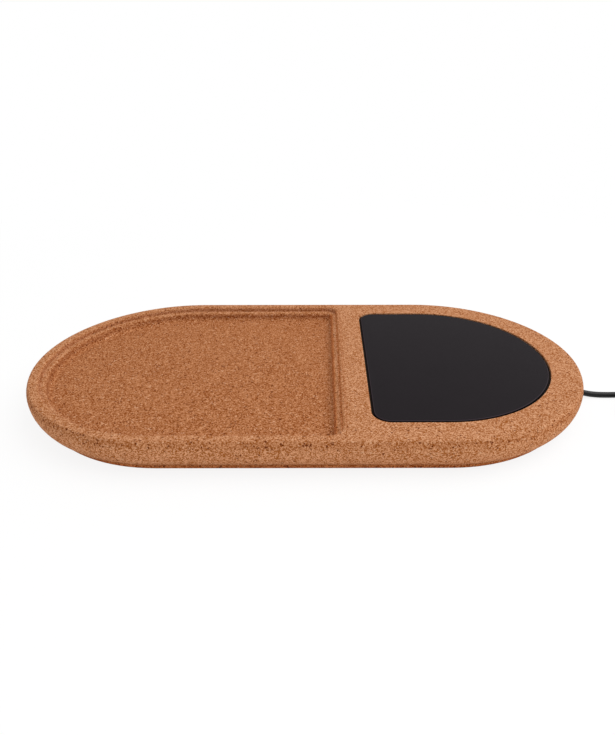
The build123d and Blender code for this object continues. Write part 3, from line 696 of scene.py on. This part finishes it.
copper_red = (0.62, 0.23, 0.09)
strand = 0.3 * mm
strand_stretch = (1.0, 1.0, 6.0)
strand_swing = 0.7
strand_relief = 0.03 * mm

copper = Finish("enamelled_copper", roughness=0.34, metallic=0.85)
copper_place = copper.node("ShaderNodeMapping", {}, {"Vector": copper.place, "Scale": strand_stretch})
strands = copper.noise(strand, detail=3.0, place=copper_place)
copper.set("Base Color", strands.swing(strand_swing).shaded(copper_red))
copper.bump(strands, strand_relief)
copper.give(nodes["transmit_coil"], nodes["coil_leads"])

ferrite = mottled("sintered_ferrite", colour=(0.03, 0.03, 0.033), swing=0.6, patch=0.8 * mm,
                  grain=0.3 * mm, relief=0.02 * mm, roughness=0.5, detail=4.0)
ferrite.give(nodes["ferrite_sheet"], nodes["input_inductor"])

shield = metal("shield_sheet", colour=(0.72, 0.73, 0.75), roughness=0.35, scratch=1.5 * mm)
shield.give(nodes["shield_plate"], nodes["clock_crystal"])


# Circuit board and its components: green laminate with faint tracks, black moulded packages,
# tan ceramic capacitors with tinned ends, and a drum inductor in ferrite.

bare_green = (0.006, 0.075, 0.03)
track_green = (0.02, 0.17, 0.07)
track_field = 2.6 * mm
track_edge = (0.09, 0.03)
track_relief = 0.03 * mm

board = Finish("board_laminate", roughness=0.35)
tracks = board.seams(track_field).under(*track_edge)
board.set("Base Color", tracks.mix(bare_green, track_green))
board.bump(tracks, track_relief)
board.give(nodes["circuit_board"])

package = smooth_black("chip_package", colour=(0.015, 0.015, 0.016), grain=0.15 * mm, relief=0.01 * mm,
                       roughness=0.5)
package.give(nodes["control_chip"], nodes["bridge_transistors"])

ceramic = mottled("capacitor_ceramic", colour=(0.42, 0.29, 0.17), swing=0.4, patch=0.5 * mm,
                  grain=0.2 * mm, relief=0.008 * mm, roughness=0.4)
ceramic.give(nodes["resonant_capacitors"], nodes["chip_capacitors"])

wire = mottled("wire_cover", colour=(0.32, 0.02, 0.015), swing=0.4, patch=0.6 * mm, grain=0.3 * mm,
               relief=0.01 * mm, roughness=0.4)
wire.give(nodes["power_leads"])


# Plug: a black moulded grip with its bend collar, round a plated shell that is pressed from sheet,
# a black tongue and four gilt contacts.

moulding = smooth_black("plug_moulding", colour=(0.016, 0.016, 0.017), grain=0.4 * mm, relief=0.02 * mm,
                        roughness=0.5)
moulding.give(nodes["plug_grip"], nodes["plug_tongue"])

plating = metal("plug_plating", colour=(0.68, 0.69, 0.71), roughness=0.26, scratch=1.0 * mm)
plating.give(nodes["plug_shell"])

gilt = metal("contact_gilt", colour=(0.8, 0.52, 0.16), roughness=0.25, scratch=0.6 * mm)
gilt.give(nodes["plug_contacts"])


# Desk: a plain white floor. What the camera sees of it is mostly an even white, which keeps a part
# of the tray's shadow, while its light on the tray stays that of white paper.

floor_side = 6.0
paper_white = (0.93, 0.93, 0.93)
paper_patch = 300 * mm
paper_swing = 0.02
near_white_share = 0.87
shadow_reach = 0.3


def watched(shading):
    """1 on a ray from the camera, straight or by way of a mirror or glass, and 0 on any other."""
    rays = shading.node("ShaderNodeLightPath", {}, {}, output="Is Camera Ray")
    for kind in ("Is Glossy Ray", "Is Transmission Ray"):
        rays = rays.math("MAXIMUM", shading.node("ShaderNodeLightPath", {}, {}, output=kind))
    return rays


bpy.ops.object.select_all(action="DESELECT")
bpy.ops.mesh.primitive_plane_add(size=floor_side)
floor = bpy.context.object
floor.name = "floor"

paper = Finish("floor_paper", roughness=0.9, specular=0.1)
paper.set("Base Color", paper.noise(paper_patch).swing(paper_swing).shaded(paper_white))
paper_x = paper.axis("X")
paper_y = paper.axis("Y")
far = (paper_x * paper_x + paper_y * paper_y).math("SQRT").over(shadow_reach, shadow_reach)
white_share = watched(paper) * (near_white_share + (1 - near_white_share) * far)
lit = Value(paper, paper.shader.outputs[0])
white = paper.node("ShaderNodeEmission", {}, {"Color": (1.0, 1.0, 1.0), "Strength": 1.0})
paper.feed(paper.tree.nodes["Material Output"].inputs["Surface"],
           paper.node("ShaderNodeMixShader", {}, {0: white_share, 1: lit, 2: white}))
paper.give(floor)


# Light: a wide soft lamp overhead and to the tray's right, in a white room. The camera sees the room
# as full white, while it lights the tray a little less.

room_level = 0.66
lamp_side = 1.3
lamp_place = Vector((0.75, 0.0, 1.15))
lamp_power = 14.2

world = bpy.data.worlds.new("room")
world.use_nodes = True
bpy.context.scene.world = world
room = Shading(world.node_tree)
backdrop = room.tree.nodes["Background"]
room.feed(backdrop.inputs["Color"], (1.0, 1.0, 1.0))
room.feed(backdrop.inputs["Strength"], room_level + (1 - room_level) * watched(room))

lamp_data = bpy.data.lights.new("softbox", "AREA")
lamp_data.shape = "SQUARE"
lamp_data.size = lamp_side
lamp_data.energy = lamp_power
lamp = bpy.data.objects.new("softbox", lamp_data)
lamp.location = lamp_place
lamp.rotation_euler = (-lamp_place).to_track_quat("-Z", "Y").to_euler()
bpy.context.scene.collection.objects.link(lamp)

bpy.context.scene.view_settings.view_transform = "Standard"

bpy.context.view_layer.update()
